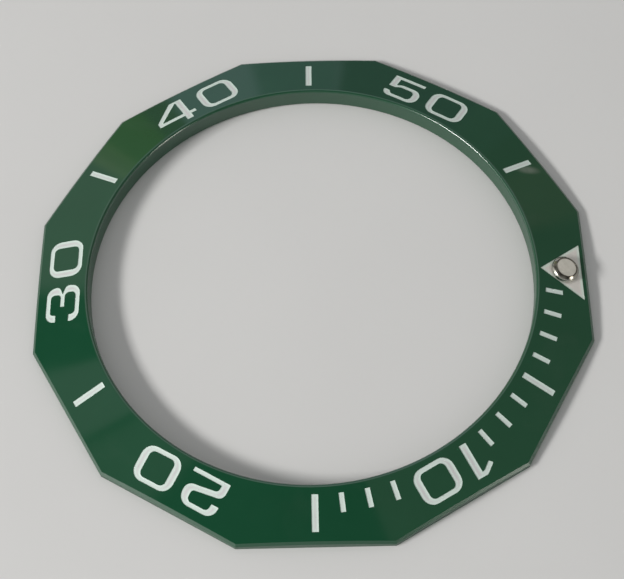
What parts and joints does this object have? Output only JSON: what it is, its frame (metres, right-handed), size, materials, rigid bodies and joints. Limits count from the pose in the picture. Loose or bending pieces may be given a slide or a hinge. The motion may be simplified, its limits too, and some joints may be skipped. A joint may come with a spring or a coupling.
{
  "type": "watch bezel insert",
  "caption": "Polygonal ceramic bezel insert with straight outer flats, a sloping glossy face, a round bore, pale inlaid minute marks and numerals, and a steel pip in a triangle.",
  "frame": {"origin": "centre of the flat underside, on the axis of the bore", "axes": "+Z out through the face along the bore's axis, +Y towards the triangle (60), +X towards minute 15"},
  "size_m": [0.0384, 0.0384, 0.0017],
  "materials": {
    "ring_ceramic": "polished, dark green",
    "mark_fill": "matte, pale mint white",
    "triangle_fill": "matte, warm white",
    "pip_steel": "polished rim",
    "pip_lume": "matte, beige"
  },
  "bodies": {
    "root": {"insert_ring": "ring_ceramic", "triangle_inlay": "triangle_fill", "pip_cup": "pip_steel", "pip_lume": "pip_lume", "numeral_10_one": "mark_fill", "numeral_10_zero": "mark_fill", "numeral_20_two": "mark_fill", "numeral_20_zero": "mark_fill", "numeral_30_three": "mark_fill", "numeral_30_zero": "mark_fill", "numeral_40_four": "mark_fill", "numeral_40_zero": "mark_fill", "numeral_50_five": "mark_fill", "numeral_50_zero": "mark_fill", "bar_05": "mark_fill", "bar_15": "mark_fill", "bar_25": "mark_fill", "bar_35": "mark_fill", "bar_45": "mark_fill", "bar_55": "mark_fill", "minute_tick_01": "mark_fill", "minute_tick_02": "mark_fill", "minute_tick_03": "mark_fill", "minute_tick_04": "mark_fill", "minute_tick_06": "mark_fill", "minute_tick_07": "mark_fill", "minute_tick_08": "mark_fill", "minute_tick_12": "mark_fill", "minute_tick_13": "mark_fill", "minute_tick_14": "mark_fill"}
  },
  "joints": []
}
